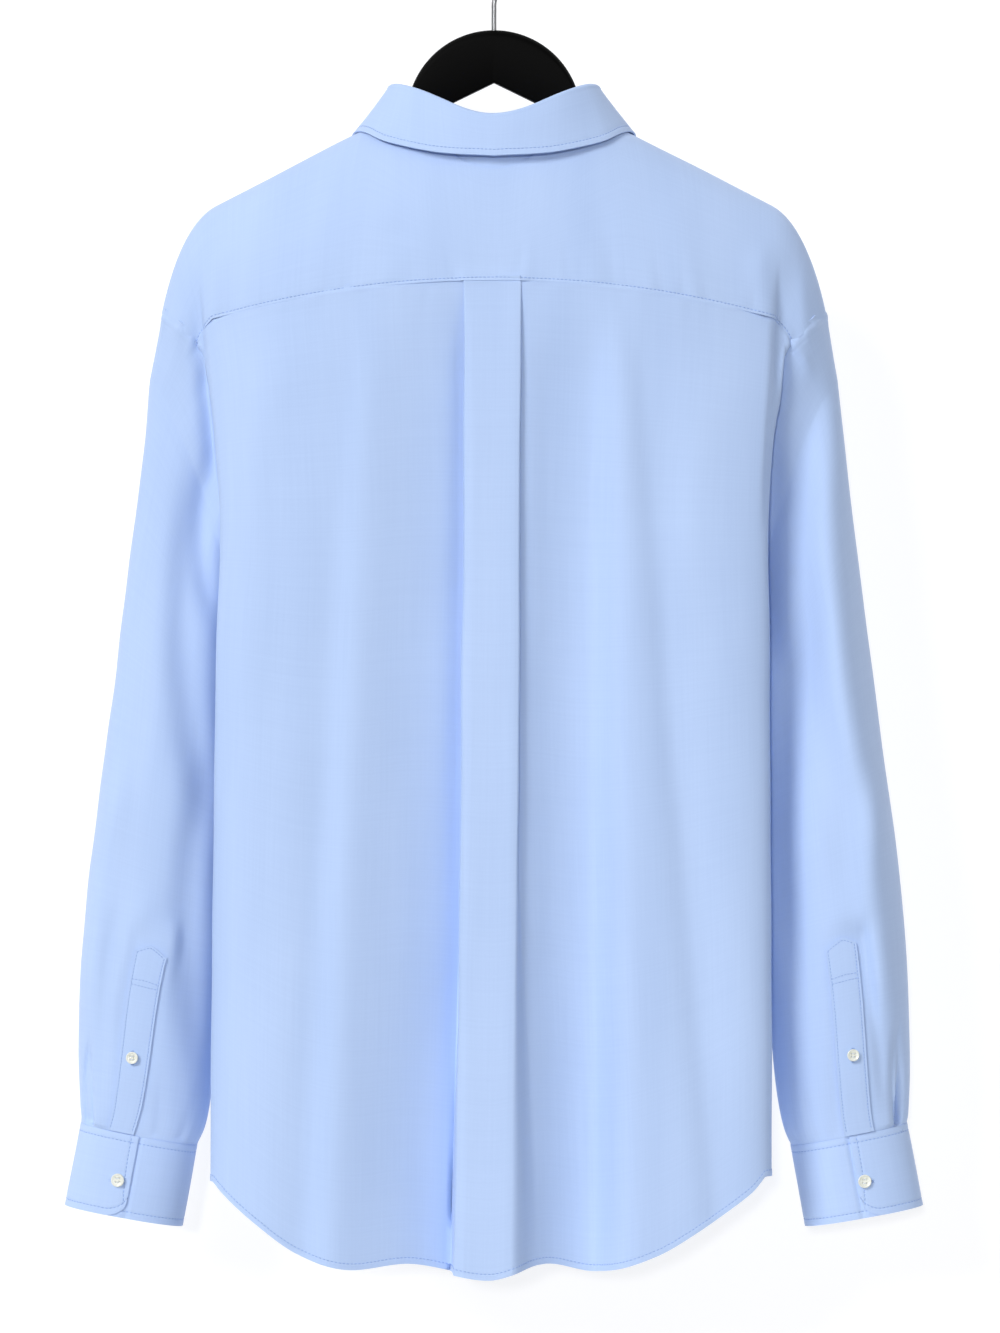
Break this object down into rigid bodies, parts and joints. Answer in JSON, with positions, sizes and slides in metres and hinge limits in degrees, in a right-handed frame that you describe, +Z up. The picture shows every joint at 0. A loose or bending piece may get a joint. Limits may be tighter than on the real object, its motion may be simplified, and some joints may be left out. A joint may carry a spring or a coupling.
{
  "type": "dress shirt on hanger",
  "caption": "Long sleeve button-up dress shirt hanging on a hanger, with yoke, back box pleat, collar, buttoned cuffs and sleeve plackets",
  "frame": {"origin": "inside top of the hook, where a rail carries the hanger", "axes": "+Z up, +X to the picture's right, +Y from the shirt's back to its front; the picture looks along +Y at the back"},
  "size_m": [0.6186, 0.1707, 0.9712],
  "materials": {
    "cotton": "light blue cotton poplin, matt with a faint sheen",
    "button": "off-white, softly polished",
    "hanger": "black, satin",
    "wire": "plated wire, satin"
  },
  "bodies": {
    "root": {"back_panel": "cotton", "yoke": "cotton", "front_left": "cotton", "front_right": "cotton", "front_placket": "cotton", "collar_stand": "cotton", "collar_leaf": "cotton", "sleeve_left": "cotton", "sleeve_right": "cotton", "cuff_left": "cotton", "cuff_right": "cotton", "gauntlet_left": "cotton", "gauntlet_right": "cotton", "cuff_button_left": "button", "cuff_button_right": "button", "gauntlet_button_left": "button", "gauntlet_button_right": "button", "front_button_1": "button", "front_button_2": "button", "front_button_3": "button", "front_button_4": "button", "front_button_5": "button", "front_button_6": "button", "front_button_7": "button", "hanger": "hanger", "hook": "wire"}
  },
  "joints": []
}
